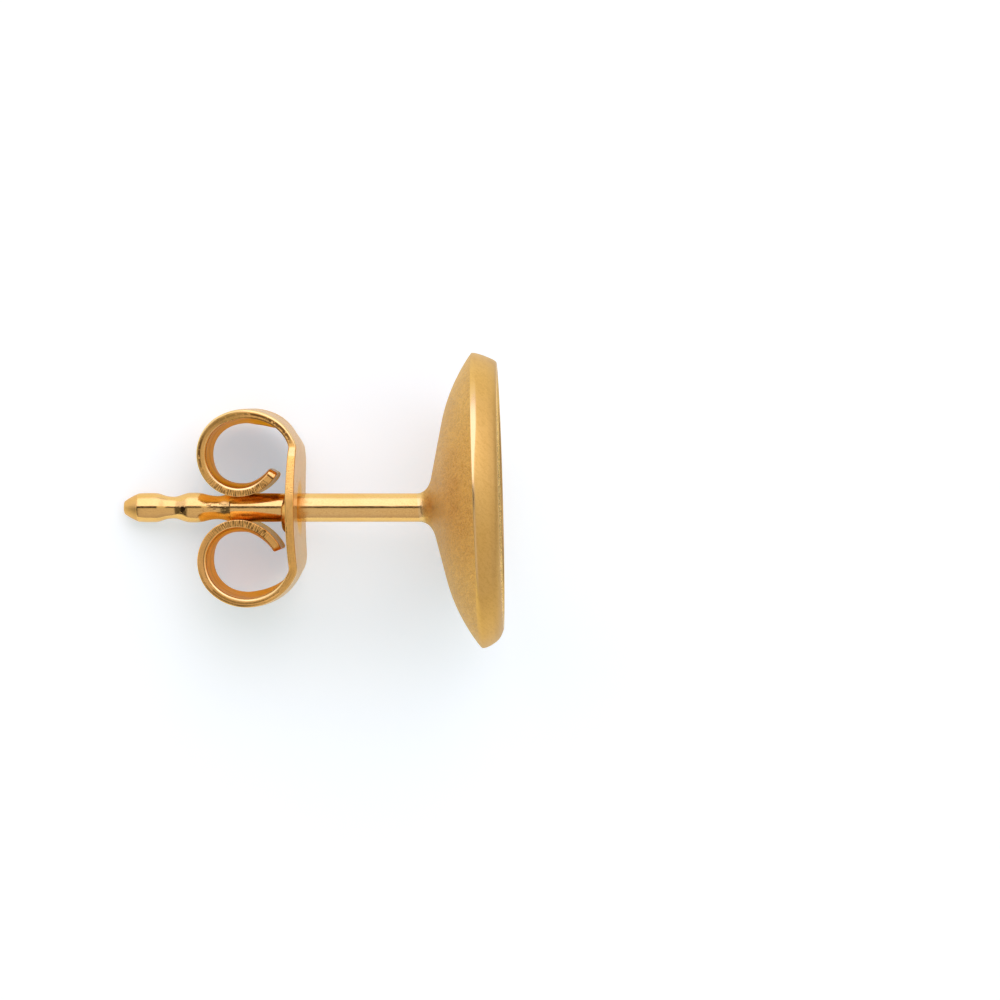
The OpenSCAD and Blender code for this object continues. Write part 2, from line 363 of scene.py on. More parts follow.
def clutch_gold():
    """The clutch: tumbled sheet, with sheared edges that keep their cutting
    marks."""
    mat, n = gold_material("clutch_gold")
    o = n.obj()
    edge, along, across = n.attr("edge"), n.attr("along"), n.attr("across")
    grain = n.noise(o, 20000, 3, 0.6, 0.3)
    speck = n.noise(o, 34000, 2, 0.65)
    broad = n.noise(o, 1200, 3, 0.55)
    col = n.mixc(n.ramp(broad, 0.35, 0.68), (0.89, 0.51, 0.130, 1), (0.91, 0.56, 0.175, 1))
    col = n.mixc(n.math("MULTIPLY", n.ramp(grain, 0.56, 0.34), 0.30), col, (0.66, 0.30, 0.07, 1))
    # the sheared edge: marks across it, a torn dark line near the outer side
    far = n.math("ABSOLUTE", along)
    comb = n.noise(n.combine(n.math("MULTIPLY", along, 27.0), n.math("MULTIPLY", across, 2.5), 0.0), 1.0, 2, 0.6)
    runs = n.noise(n.combine(n.math("MULTIPLY", along, 1.6), n.math("MULTIPLY", across, 38.0), 3.0), 1.0, 3, 0.6)
    late = n.math("MULTIPLY", n.ramp(far, 6.9, 7.8), n.ramp(far, 9.3, 9.45, 1.0, 0.0))
    early = n.math("MULTIPLY", n.ramp(along, 2.0, 2.5), n.ramp(along, 6.4, 7.4, 1.0, 0.0))
    torn_and_shade = n.math("ABSOLUTE", n.math("ADD", across, n.ramp(along, 4.6, 6.0, 0.010, 0.055)))
    blotch = n.noise(o, 8500, 3, 0.65)
    torn_and_shade = n.math("MULTIPLY", n.ramp(torn_and_shade, 0.022, 0.052, 1.0, 0.0), n.ramp(blotch, 0.36, 0.45))
    faint = n.math("MULTIPLY", n.ramp(along, 3.7, 4.4, 0.0, 0.62), n.ramp(along, 5.5, 6.1, 1.0, 0.0))
    torn_and_shade = n.math("MULTIPLY", torn_and_shade, n.math("SUBTRACT", early, faint, clamp=True))
    # fine teeth that run inwards from it by the bend
    coarse = n.noise(n.combine(n.math("MULTIPLY", along, 8.5), n.math("MULTIPLY", across, 2.0), 5.0), 1.0, 2, 0.6)
    bite = n.math("MULTIPLY", n.ramp(coarse, 0.47, 0.52), n.math("MULTIPLY", n.ramp(across, -0.04, -0.02), n.ramp(across, 0.03, 0.08, 1.0, 0.0)))
    bite = n.math("MULTIPLY", bite, n.math("MULTIPLY", n.ramp(along, 2.1, 2.3), n.ramp(along, 3.3, 4.1, 1.0, 0.0)))
    torn_and_shade = n.math("MAXIMUM", torn_and_shade, bite)
    # darker where the plate's edge meets the dimple
    dimple_edge_dark = n.math("MULTIPLY", n.ramp(along, -1.05, -0.9), n.ramp(along, -0.40, -0.25, 1.0, 0.0))
    dimple_edge_dark = n.math("MULTIPLY", dimple_edge_dark, n.math("MULTIPLY", n.ramp(across, 0.075, 0.095), n.ramp(blotch, 0.40, 0.50)))
    torn_and_shade = n.math("MAXIMUM", torn_and_shade, dimple_edge_dark)
    # on the other scroll: painted shade, a thin dark line along each bevel
    other = n.math("MULTIPLY", along, -1.0)
    bevel_shade = n.ramp(n.math("ABSOLUTE", n.math("SUBTRACT", across, 0.062)), 0.006, 0.022, 1.0, 0.0)
    bevel_shade = n.math("MULTIPLY", n.math("MULTIPLY", bevel_shade, n.ramp(other, 4.6, 5.4)), n.ramp(other, 7.0, 7.8, 1.0, 0.0))
    bevel_shade_b = n.ramp(n.math("ABSOLUTE", n.math("ADD", across, 0.088)), 0.006, 0.024, 1.0, 0.0)
    bevel_shade_b = n.math("MULTIPLY", n.math("MULTIPLY", bevel_shade_b, n.ramp(other, 3.4, 4.2)), n.ramp(other, 5.6, 6.4, 1.0, 0.0))
    bevel_shade = n.math("MULTIPLY", n.math("MAXIMUM", bevel_shade, bevel_shade_b), n.ramp(blotch, 0.34, 0.48, 0.25, 0.8))
    torn_and_shade = n.math("MAXIMUM", torn_and_shade, bevel_shade)
    # and painted shade, a dark line along the crease where the first scroll's end is cut slantwise
    crease = n.ramp(n.math("ABSOLUTE", n.math("SUBTRACT", along, 9.59)), 0.016, 0.036, 1.0, 0.0)
    torn_and_shade = n.math("MAXIMUM", torn_and_shade, crease)
    teeth = n.math("MULTIPLY", n.ramp(comb, 0.45, 0.56), n.mixf(late, 0.10, 0.95))
    scuff = n.math("MULTIPLY", n.ramp(runs, 0.54, 0.70), 0.40)
    wear_and_shade = n.math("MAXIMUM", n.math("MAXIMUM", torn_and_shade, teeth), scuff)
    wear_and_shade = n.math("MAXIMUM", wear_and_shade, n.math("MULTIPLY", n.ramp(speck, 0.56, 0.70), 0.45))
    flat = n.ramp(edge, 0.9, 1.0)
    wear_and_shade = n.math("MULTIPLY", wear_and_shade, flat)
    col = n.mixc(n.math("MULTIPLY", flat, 0.85), col, (0.96, 0.525, 0.115, 1))
    dull = n.math("MULTIPLY", n.math("MULTIPLY", n.ramp(other, 3.0, 4.6), n.ramp(other, 7.0, 8.0, 0.55, 0.0)), flat)
    col = n.mixc(dull, col, (0.50, 0.235, 0.05, 1))
    # torn lines, teeth and scuffs are wear; the bevel lines and the crease among them are painted shade
    col = n.mixc(n.math("MULTIPLY", wear_and_shade, 0.88), col, (0.12, 0.045, 0.010, 1))
    # painted shade darkens the first scroll's inner corner; the bend's facet is painted paler, a painted highlight
    thru = n.attr("thru")
    corner = n.math("MULTIPLY", n.ramp(thru, 0.50, 0.72), n.ramp(edge, 0.25, 0.55))
    corner = n.math("MULTIPLY", corner, n.math("MULTIPLY", n.ramp(along, 2.1, 2.4), n.ramp(along, 3.6, 4.4, 0.75, 0.0)))
    col = n.mixc(corner, col, (0.28, 0.11, 0.02, 1))
    facet = n.math("MULTIPLY", n.ramp(along, 1.73, 1.79), n.ramp(along, 2.01, 2.07, 1.0, 0.0))
    facet = n.math("MULTIPLY", facet, flat)
    col = n.mixc(n.math("MULTIPLY", facet, 0.7), col, (0.95, 0.62, 0.24, 1))
    # bevels: smoother all round, and painted paler outside on the first scroll and inside on the other, a painted
    # highlight
    bevel = n.math("MULTIPLY", n.ramp(edge, 0.05, 0.25), n.math("SUBTRACT", 1.0, flat))
    out_a = n.math("MULTIPLY", n.ramp(along, 1.8, 2.4), n.ramp(thru, -0.2, -0.5))
    in_b = n.math("MULTIPLY", n.math("MULTIPLY", n.ramp(other, 2.2, 3.2), n.ramp(other, 5.2, 6.4, 1.0, 0.0)), n.ramp(thru, 0.2, 0.5))
    in_a = n.math("MULTIPLY", n.math("MULTIPLY", n.ramp(along, 6.4, 7.4), n.ramp(along, 8.8, 9.4, 1.0, 0.0)), n.ramp(thru, 0.2, 0.5))
    in_b = n.math("MAXIMUM", in_a, in_b)
    col = n.mixc(n.math("MULTIPLY", n.math("MULTIPLY", bevel, 0.8), n.math("MAXIMUM", out_a, in_b)), col, (0.97, 0.70, 0.27, 1))
    # painted highlight: the first scroll's end is painted paler
    tip = n.math("MULTIPLY", n.ramp(along, 9.62, 9.66), n.ramp(edge, 0.3, 0.6))
    col = n.mixc(n.math("MULTIPLY", tip, 0.75), col, (0.97, 0.64, 0.22, 1))
    n.put(n.p.inputs["Base Color"], col)
    face_r = n.ramp(grain, 0.3, 0.7, 0.24, 0.34)
    face_r = n.mixf(bevel, face_r, 0.16)
    plate = n.math("MULTIPLY", n.ramp(along, 0.35, 0.6), n.ramp(along, 2.0, 2.12, 1.0, 0.0))
    flat_r = n.mixf(plate, n.ramp(grain, 0.3, 0.7, 0.38, 0.54), n.ramp(grain, 0.3, 0.7, 0.22, 0.34))
    flat_r = n.mixf(tip, flat_r, 0.22)
    n.put(n.p.inputs["Roughness"], n.mixf(flat, face_r, flat_r))
    n.p.inputs["Specular Tint"].default_value = (0.78, 0.78, 0.76, 1)
    b = n.bump(grain, n.mixf(flat, 0.35, 0.6), 6e-6)
    b = n.bump(wear_and_shade, 0.5, 8e-6, b)
    n.put(n.p.inputs["Normal"], b)
    return mat


def clutch_inside_gold():
    """The inside of the scrolls: duller, and painted a deeper orange that stands in for light reflected between the
    gold walls.
    """
    mat, n = gold_material("clutch_inside_gold")
    o = n.obj()
    grain = n.noise(o, 20000, 3, 0.6, 0.3)
    broad = n.noise(o, 1500, 3, 0.55)
    lines = n.noise(n.combine(n.math("MULTIPLY", n.attr("across"), 9.0), n.math("MULTIPLY", n.attr("along"), 1.2), 0.0), 1.0, 3, 0.6)
    col = n.mixc(n.ramp(broad, 0.35, 0.68), (0.99, 0.45, 0.052, 1), (1.0, 0.51, 0.078, 1))
    col = n.mixc(n.math("MULTIPLY", n.ramp(lines, 0.5, 0.66), 0.6), col, (0.72, 0.25, 0.02, 1))
    # painted shade: a dark line behind the bevel, a faint one along the middle
    rim = n.ramp(n.math("ABSOLUTE", n.math("SUBTRACT", n.attr("rim"), 0.13)), 0.02, 0.07, 0.65, 0.0)
    mid = n.ramp(n.math("ABSOLUTE", n.math("SUBTRACT", n.attr("across"), 0.1)), 0.05, 0.28, 0.28, 0.0)
    col = n.mixc(n.math("MAXIMUM", rim, mid), col, (0.40, 0.13, 0.012, 1))
    n.put(n.p.inputs["Base Color"], col)
    n.put(n.p.inputs["Roughness"], n.ramp(grain, 0.3, 0.7, 0.28, 0.40))
    n.p.inputs["Specular Tint"].default_value = (0.95, 0.62, 0.28, 1)
    n.put(n.p.inputs["Normal"], n.bump(n.math("ADD", grain, lines), 0.3, 5e-6))
    return mat


# ---------------------------------------------------------------- disc with post
ROUND = 256

# post: distance from the free end, radius
POST = [
    (0, 0.170), (0.004, 0.190), (0.016, 0.212), (0.04, 0.235), (0.10, 0.276),
    (0.187, 0.331), (0.26, 0.371), (0.323, 0.4045), (0.39, 0.438), (0.455, 0.467),
    (0.470, 0.477), (0.49, 0.484), (0.55, 0.491), (0.62, 0.496), (0.70, 0.500),
    (0.80, 0.502), (1.0, 0.502), (1.08, 0.499), (1.139, 0.492), (1.20, 0.477),
    (1.275, 0.454), (1.34, 0.430), (1.411, 0.407), (1.48, 0.391), (1.547, 0.382),
    (1.615, 0.376), (1.683, 0.374), (1.75, 0.379), (1.819, 0.394), (1.89, 0.416),
    (1.955, 0.439), (2.02, 0.462), (2.09, 0.485), (2.15, 0.500), (2.20, 0.507),
    (2.25, 0.510), (2.35, 0.511), (2.45, 0.511), (2.52, 0.508), (2.58, 0.502),
    (2.634, 0.494), (2.70, 0.480), (2.77, 0.461), (2.84, 0.443), (2.906, 0.428),
    (2.97, 0.416), (3.04, 0.407), (3.10, 0.402), (3.16, 0.399), (3.22, 0.400),
    (3.28, 0.405), (3.34, 0.414), (3.40, 0.427), (3.46, 0.443), (3.52, 0.459),
    (3.58, 0.475), (3.63, 0.486), (3.66, 0.4895), (3.70, 0.49), (4.0, 0.49),
]

# disc back: straight hub cone, then an arc that meets the rim
BACK_R, RIM_SLOPE, HUB_SLOPE = 5.9, math.radians(38), math.radians(13)
ARC_X = DISC_R - BACK_R * math.sin(RIM_SLOPE)
ARC_Y = BACK_R * math.cos(RIM_SLOPE)
HUB_R = ARC_X + BACK_R * math.sin(HUB_SLOPE)
HUB_Y = ARC_Y - BACK_R * math.cos(HUB_SLOPE)
TIP_Y = HUB_Y - HUB_R * math.tan(HUB_SLOPE)


def back_height(r):
    r = np.asarray(r, float)
    arc = ARC_Y - np.sqrt(np.maximum(BACK_R**2 - (r - ARC_X) ** 2, 0.01))
    return np.where(r < HUB_R, TIP_Y + np.abs(r) * math.tan(HUB_SLOPE), arc)


_m = Matrix.Rotation(LEAN_ACROSS, 3, "Z") @ Matrix.Rotation(-LEAN_UP, 3, "Y")
AX_A = np.array(_m @ Vector((1, 0, 0)))
AX_U = np.array(_m @ Vector((0, 1, 0)))
AX_V = np.array(_m @ Vector((0, 0, 1)))
CENTRE = np.array([RIM_X, DISC_OFF, 0.0])

PHI = np.linspace(0, 2 * math.pi, ROUND, endpoint=False)
COS, SIN = np.cos(PHI), np.sin(PHI)
LOW = ((1 - COS) / 2) ** 1.5  # 0 on the band's +y side, 1 on its -y side


def disc_points(a, yd, zd):
    a, yd, zd = np.broadcast_arrays(np.asarray(a, float), yd, zd)
    return CENTRE + a[..., None] * AX_A + yd[..., None] * AX_U + zd[..., None] * AX_V


# band and lip: distance in front of the rim's back edge, radius; the lip is
# rounder on the -y side
BAND_TOP = [
    (0.10, 4.990), (0.2145, 4.960), (0.349, 4.918), (0.483, 4.862), (0.617, 4.802),
    (0.735, 4.740), (0.790, 4.698), (0.823, 4.660), (0.838, 4.628), (0.838, 4.602), (0.826, 4.580),
]
BAND_LOW = [
    (0.06, 4.974), (0.13, 4.967), (0.26, 4.938), (0.40, 4.862), (0.52, 4.778),
    (0.615, 4.682), (0.680, 4.575), (0.722, 4.478), (0.748, 4.415), (0.756, 4.378), (0.748, 4.350),
]


def build_disc_with_post(mats):
    rings, kind, gloss, nose, along, lip = [], [], [], [], [], []

    def add(p, k, g=0.0, ns=0.0, lp=0.0):
        rings.append(np.asarray(p, float))
        kind.append(k)
        gloss.append(np.broadcast_to(np.asarray(g, float), (ROUND,)))
        nose.append(np.full(ROUND, float(ns)))
        lip.append(np.full(ROUND, float(lp)))
        along.append(rings[-1][:, 0])

    def post_ring(x, r, k, g=0.0, ns=0.0):
        add(np.stack([np.full(ROUND, x) if np.ndim(x) == 0 else x, r * COS, r * SIN], -1), k, g, ns)

    # the filed tip
    for r in (0.05, 0.11, 0.16):
        post_ring(0.0, r, 0, 1.0, 1.0)
    px, pr = zip(*POST)
    xs = np.unique(np.concatenate([
        np.array([0, 0.002, 0.004, 0.009, 0.016, 0.028]), np.linspace(0.04, 0.44, 15),
        np.linspace(0.455, 0.50, 6), np.linspace(0.52, 3.72, 104), np.linspace(3.9, 9.9, 12),
    ]))
    for x in xs:
        r = float(hermite(px, pr, x)) if x < 4.0 else POST_R
        post_ring(x, r, 0, 1.0, 1.0 - float(smoothstep(0.462, 0.482, x)))

    # solder fillet between the post and the back of the disc
    hub_y, hub_z = -0.18, 0.03

    def on_back(rho):
        k = 1 - smoothstep(1.0, 2.8, rho)
        yd, zd = rho * COS + hub_y * k, rho * SIN + hub_z * k
        return disc_points(back_height(np.hypot(yd, zd)), yd, zd)

    rho1 = 1.02
    p0 = np.stack([9.99 - 0.05 * COS, POST_R * COS, POST_R * SIN], -1)
    p1 = on_back(rho1)
    corner = on_back(POST_R)
    corner[:, 1:] = p0[:, 1:]
    b1, b2 = p0 + 0.66 * (corner - p0), p1 + 0.62 * (corner - p1)
    steps = 22
    for i in range(steps + 1):
        t = i / steps
        p = (1 - t) ** 3 * p0 + 3 * t * (1 - t) ** 2 * b1 + 3 * t * t * (1 - t) * b2 + t**3 * p1
        add(p, 1 if i else 0, 1 - smoothstep(0.04, 0.40, t))
    # back of the disc; along the upper quarter the rim's back edge was buffed
    # to a narrow, almost flat facet
    buffed = smoothstep(0.14, 0.56, COS) * (1 - smoothstep(0.74, 0.97, COS))
    facet = 0.040 + 0.115 * buffed - 0.012 * smoothstep(0.45, 0.7, -COS)
    # shine: how glossy the facet is; the materials also paint the gold paler there, a painted highlight
    shine = (0.75 + 0.25 * smoothstep(0.0, 0.3, COS)) * (1 - 0.95 * smoothstep(0.60, 0.84, COS)) * (1 - smoothstep(0.40, 0.62, -COS))
    wide = DISC_R + 0.015 * COS**2
    b0, b1_, b2_ = math.pi / 2 - RIM_SLOPE, math.radians(9), -math.atan(0.22)
    soft = smoothstep(0.40, 0.78, -COS) * (1 - 0.55 * smoothstep(0.90, 1.0, -COS))
    small, large = 0.028 + 0.20 * soft, facet / (b1_ - b2_)
    start_r = wide - small * (math.cos(b1_) - math.cos(b0)) - large * (1 - math.cos(b1_))
    start_a = -(wide - start_r) * math.tan(RIM_SLOPE)
    gap = start_a - back_height(start_r)
    for t in np.linspace(0, 1, 52)[1:-1]:
        p = on_back(rho1 + (start_r - rho1) * t)
        p = p + (gap * smoothstep(0.78, 1.0, t))[:, None] * AX_A
        add(p, 1, 0.0)
    for i, bt in enumerate(np.linspace(b0, b1_, 10)):
        a = start_a + small * (math.sin(b0) - math.sin(bt))
        r = start_r + small * (math.cos(bt) - math.cos(b0))
        add(disc_points(a, r * COS, r * SIN), 2 if i else 1, shine * i / 9)
    a_f, r_f = a, r
    for bt in np.linspace(b1_, b2_, 9)[1:]:
        a = a_f + large * (math.sin(b1_) - math.sin(bt))
        r = r_f + large * (math.cos(bt) - math.cos(b1_))
        add(disc_points(a, r * COS, r * SIN), 2, shine)
    last_a, last_r = a, r
    # band and lip
    top, low = np.array(BAND_TOP), np.array(BAND_LOW)
    key = np.arange(1, len(top) + 1, dtype=float)

    def band_at(u):
        at, rt = float(hermite(key, top[:, 0], u)), float(hermite(key, top[:, 1], u))
        al_, rl = float(hermite(key, low[:, 0], u)), float(hermite(key, low[:, 1], u))
        return at + (al_ - at) * LOW, rt + (rl - rt) * LOW + 0.015 * COS**2

    us = np.linspace(1, 5, 41)
    grid = [band_at(u) for u in us]
    grid_a, grid_r = np.array([g[0] for g in grid]), np.array([g[1] for g in grid])

    def radius_at(a):
        return np.array([np.interp(a[j], grid_a[:, j], grid_r[:, j]) for j in range(ROUND)])

    a5, _ = band_at(5.0)
    off = last_r - radius_at(last_a)
    for t in np.linspace(0, 1, 24)[1:]:
        a = last_a + (a5 - last_a) * t
        r = radius_at(a) + off * (1 - smoothstep(0.0, 0.55, t))
        add(disc_points(a, r * COS, r * SIN), 2, 0.3 * shine * (1 - smoothstep(0.0, 0.12, t)), 0.0, 0.45 * smoothstep(0.80, 1.0, t))
    for u in np.linspace(5, len(top), 32)[1:]:
        a, r = band_at(u)
        add(disc_points(a, r * COS, r * SIN), 2, 0.0, 0.0, 0.45 + 0.55 * smoothstep(5.0, 7.5, u))
    # hollow face, a small step below its ring
    a_e, r_e, a_c = a, r, -0.56
    rs, rb, db = 8.49, 4.61, 1.36
    for s in np.concatenate([[0.9985, 0.9965, 0.9945, 0.9925, 0.9905, 0.987, 0.982], np.linspace(0.974, 0.02, 50)]):
        f = (rs - math.sqrt(rs * rs - (s * rb) ** 2)) / db
        step = 0.020 * (1 - smoothstep(0.9900, 0.9990, s)) * smoothstep(0.0, 0.9, s)
        add(disc_points(a_c + (a_e - a_c) * f - step, s * r_e * COS, s * r_e * SIN), 3, smoothstep(0.9870, 0.9925, s))

    n = len(rings)
    verts = np.concatenate(rings)
    tip = len(verts)
    end = tip + 1
    verts = np.concatenate([verts, [[0, 0, 0]], disc_points(a_c, 0.0, 0.0)[None, :]])
    faces, fm = [], []
    for i in range(n - 1):
        k = kind[i + 1]
        for j in range(ROUND):
            j2 = (j + 1) % ROUND
            faces.append((i * ROUND + j, (i + 1) * ROUND + j, (i + 1) * ROUND + j2, i * ROUND + j2))
            fm.append(k)
    for j in range(ROUND):
        j2 = (j + 1) % ROUND
        faces.append((tip, j, j2))
        fm.append(0)
        faces.append(((n - 1) * ROUND + j, end, (n - 1) * ROUND + j2))
        fm.append(3)
    # flat coordinates of the face, in millimetres, for the scratches
    rel = verts - CENTRE
    attrs = {
        "gloss": np.concatenate(gloss + [[1.0, 0.0]]),
        "nose": np.concatenate(nose + [[1.0, 0.0]]),
        "lip": np.concatenate(lip + [[0.0, 0.0]]),
        "along": np.concatenate(along + [[0.0, RIM_X]]),
        "round": np.concatenate([np.tile(PHI, n), [0.0, 0.0]]),
        "face_y": rel @ AX_U,
        "face_z": rel @ AX_V,
    }
    return make_mesh("disc_with_post_looks", row(verts), faces, fm, mats, attrs)


# ---------------------------------------------------------------- clutch
# Bends of the strip's middle line from the middle of the plate to each tip:
# radius in millimetres, turn in degrees
SCROLL_A = [(27.4, -4.18), (0.30, 24.1), (1.456, 39.6), (1.835, 57.1), (1.295, 102.6), (1.225, 72.4), (1.431, 38.0)]
SCROLL_B = [(19.3, -5.6), (0.558, 32.4), (1.708, 98.6), (1.302, 87.8), (1.185, 79.0), (1.702, 33.7), (0.90, 12.0)]
CLUTCH_Y = -0.015
HALF_W = [(0, 2.55), (0.25, 2.547), (0.5, 2.518), (1.1, 2.420), (1.5, 2.345), (1.74, 2.290), (1.78, 2.278), (2.02, 2.125),
          (2.06, 2.108), (2.3, 2.065), (3.1, 1.95), (4.1, 1.8), (5.2, 1.4), (6.2, 1.2), (7.4, 1.08), (8.6, 1.0), (9.9, 0.94), (12, 0.92)]
CROWN = [(0, 0), (1.9, 0), (3.4, 0.07), (5.2, 0.06), (6.6, -0.02), (8.2, -0.15), (9.2, -0.13), (10.2, -0.05), (12, 0)]
THICK_A = [(0, 0.29), (1.9, 0.27), (2.4, 0.24), (3.3, 0.255), (4.4, 0.305), (5.6, 0.325), (7.5, 0.315), (9.0, 0.30), (12, 0.29)]
THICK_B = [(0, 0.29), (1.9, 0.28), (3.5, 0.29), (5.0, 0.315), (7.0, 0.305), (8.2, 0.28), (12, 0.275)]
TWIST_A = [(0, 0), (1.5, 0), (2.1, 0.045), (2.7, 0.070), (3.2, 0.130), (3.6, 0.175), (4.0, 0.160), (4.5, 0.060), (5.1, 0.0), (5.8, -0.025), (6.8, 0.0), (12, 0)]
TWIST_B = [(0, 0), (1.6, 0), (2.2, 0.08), (2.8, 0.13), (3.4, 0.135), (3.9, 0.110), (4.5, 0.015), (5.1, -0.035), (5.6, -0.035), (6.6, 0.0), (12, 0)]
ACROSS = 64  # cells across the strip
RC = 0.045  # least rounding of the sheared edges


def rounding(s_signed, side):
    """Radius of the sheared edge's corner on the outer (-1) or inner (1) side."""
    s = np.asarray(s_signed, float)
    if side < 0:
        return RC + 0.035 * smoothstep(1.6, 2.6, s) * (1 - smoothstep(5.4, 7.0, s))
    wide_b = 0.085 * smoothstep(2.2, 3.2, -s) * (1 - smoothstep(4.9, 6.2, -s)) + 0.040 * smoothstep(4.9, 6.2, -s) * (1 - smoothstep(7.6, 8.8, -s))
    return RC + wide_b + 0.055 * smoothstep(4.4, 5.6, s) * (1 - smoothstep(8.8, 9.4, s))


def walk(table, step):
    """Stations (x, y, heading, s) along the bends of a scroll."""
    x, y, h, s = PLATE_X, 0.0, math.pi / 2, 0.0
    out = [(x, y, h, s)]
    for r, deg in table:
        a = math.radians(deg)
        g = 1 if a > 0 else -1
        length = r * abs(a)
        k = max(2, math.ceil(max(length / step, abs(deg) / 4.0)))
        cx, cy = x - g * r * math.sin(h), y + g * r * math.cos(h)
        for i in range(1, k + 1):
            hh = h + a * i / k
            out.append((cx + g * r * math.sin(hh), cy - g * r * math.cos(hh), hh, s + length * i / k))
        x, y, h, s = out[-1]
    return out


def lookup(table, x):
    xs, ys = zip(*table)
    return hermite(xs, ys, x)


def resample(st, knots):
    st = np.array(st)
    return np.stack([np.interp(knots, st[:, 3], st[:, k]) for k in range(4)], -1)


def ring_layout():
    """The ring's points as (u, dw, side, dn): across = u * (W - RC) + dw * RC,
    through the thickness = side * (t / 2) - side * dn * RC. edge is 1 on the sheared sides."""
    e = 0.006
    us = [-1, -1 + e] + list(np.linspace(-1, 1, ACROSS + 1)[1:-1]) + [1 - e, 1]
    pts = [(u, 0.0, -1, 0.0, 0.0) for u in us]
    arc = [math.radians(d) for d in (18, 36, 54, 72)]
    pts += [(1, math.sin(a), -1, 1 - math.cos(a), math.sin(a)) for a in arc]
    pts += [(1, 1.0, -1, 1.0, 1.0), (1, 1.0, -1, 1.35, 1.0), (1, 1.0, 0, 0.0, 1.0), (1, 1.0, 1, 1.35, 1.0), (1, 1.0, 1, 1.0, 1.0)]
    pts += [(1, math.sin(a), 1, 1 - math.cos(a), math.sin(a)) for a in reversed(arc)]
    pts += [(u, 0.0, 1, 0.0, 0.0) for u in reversed(us)]
    pts += [(-1, -math.sin(a), 1, 1 - math.cos(a), math.sin(a)) for a in arc]
    pts += [(-1, -1.0, 1, 1.0, 1.0), (-1, -1.0, 1, 1.35, 1.0), (-1, -1.0, 0, 0.0, 1.0), (-1, -1.0, -1, 1.35, 1.0), (-1, -1.0, -1, 1.0, 1.0)]
    pts += [(-1, -math.sin(a), -1, 1 - math.cos(a), math.sin(a)) for a in reversed(arc)]
    return np.array(pts), len(us)


